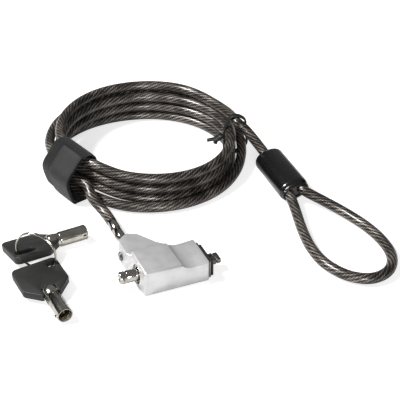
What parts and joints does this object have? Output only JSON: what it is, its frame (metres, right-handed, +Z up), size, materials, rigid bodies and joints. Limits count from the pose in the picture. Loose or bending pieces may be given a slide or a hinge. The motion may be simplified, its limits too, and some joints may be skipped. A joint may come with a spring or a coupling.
{
  "type": "laptop cable lock",
  "caption": "Laptop security cable lock: T-bar lock head with push plunger on a coiled steel cable with an eye loop, hook-and-loop strap, and tubular keys on a wire ring.",
  "frame": {"origin": "middle of the flat underside of the lock head, on the surface that everything lies on", "axes": "+X along the lock barrel from the plunger to the T-bar, +Y from the head towards the cable and its coil, +Z up"},
  "size_m": [0.2004, 0.2281, 0.0297],
  "materials": {
    "casting": "satin",
    "chrome": "polished",
    "steel": "turned",
    "brass": "turned",
    "nickel": "nickel plate",
    "jacket": "smoked clear sheath over steel strands",
    "sleeve": "gloss",
    "pad": "matte",
    "key_grip": "moulded",
    "strap": "woven, hook and loop",
    "crimp": "pressed"
  },
  "bodies": {
    "cable": {"cable_lead": "jacket", "cable_coil": "jacket", "cable_tail": "jacket", "cable_loop": "jacket", "loop_sleeve": "sleeve", "loop_crimp": "crimp", "strap": "strap", "tie": "pad", "lead_ferrule": "chrome", "swivel_eye": "chrome"},
    "head": {"housing": "casting", "lock_barrel": "steel", "barrel_pin": "steel", "pivot_pin": "chrome", "guard_plate": "steel", "plate_screw_1": "steel", "plate_screw_2": "steel", "gasket": "pad"},
    "push_plunger": {"plunger": "chrome", "plunger_spring": "steel"},
    "turning_t_bar": {"t_bar": "steel"},
    "plug": {"lock_plug": "brass", "tumbler_1": "brass", "tumbler_2": "brass", "tumbler_3": "brass", "tumbler_4": "brass"},
    "ring": {"key_ring": "nickel"},
    "key_a": {"key_a_head": "key_grip", "key_a_barrel": "nickel"},
    "key_b": {"key_b_head": "key_grip", "key_b_barrel": "nickel"}
  },
  "joints": [
    {"name": "cable_pivot", "type": "hinge", "parent": "cable", "child": "head", "pos_m": [-0.0146, 0.02, 0.0055], "axis": [-1, 0, 0], "range_deg": [0, 20]},
    {"name": "plunger_push", "type": "slide", "parent": "head", "child": "push_plunger", "axis": [1, 0, 0], "range_m": [0, 0.005], "stiffness_N_per_m": 300, "springref_m": -0.002, "deforming": ["plunger_spring"]},
    {"name": "t_bar_turn", "type": "hinge", "parent": "head", "child": "turning_t_bar", "pos_m": [0.01, -0.0015, 0.006], "axis": [1, 0, 0], "range_deg": [0, 90.1]},
    {"name": "plug_turn", "type": "hinge", "parent": "head", "child": "plug", "pos_m": [-0.0065, 0, 0.007], "axis": [1, 0, 0], "range_deg": [0, 90]},
    {"name": "keys_lift", "type": "slide", "parent": "cable", "child": "ring", "axis": [0, 0, 1], "range_m": [0, 0.06]},
    {"name": "key_a_lift", "type": "hinge", "parent": "ring", "child": "key_a", "pos_m": [-0.0707, 0.0392, 0.0065], "axis": [0, -1, 0], "range_deg": [0, 40]},
    {"name": "key_b_turn", "type": "hinge", "parent": "ring", "child": "key_b", "pos_m": [-0.0567, 0.0266, 0.0053], "axis": [0, 0, 1], "range_deg": [-3, 6]}
  ],
  "couplings": [
    {"joint": "t_bar_turn", "follows": "plunger_push", "rad_per_m": 314.16}
  ]
}
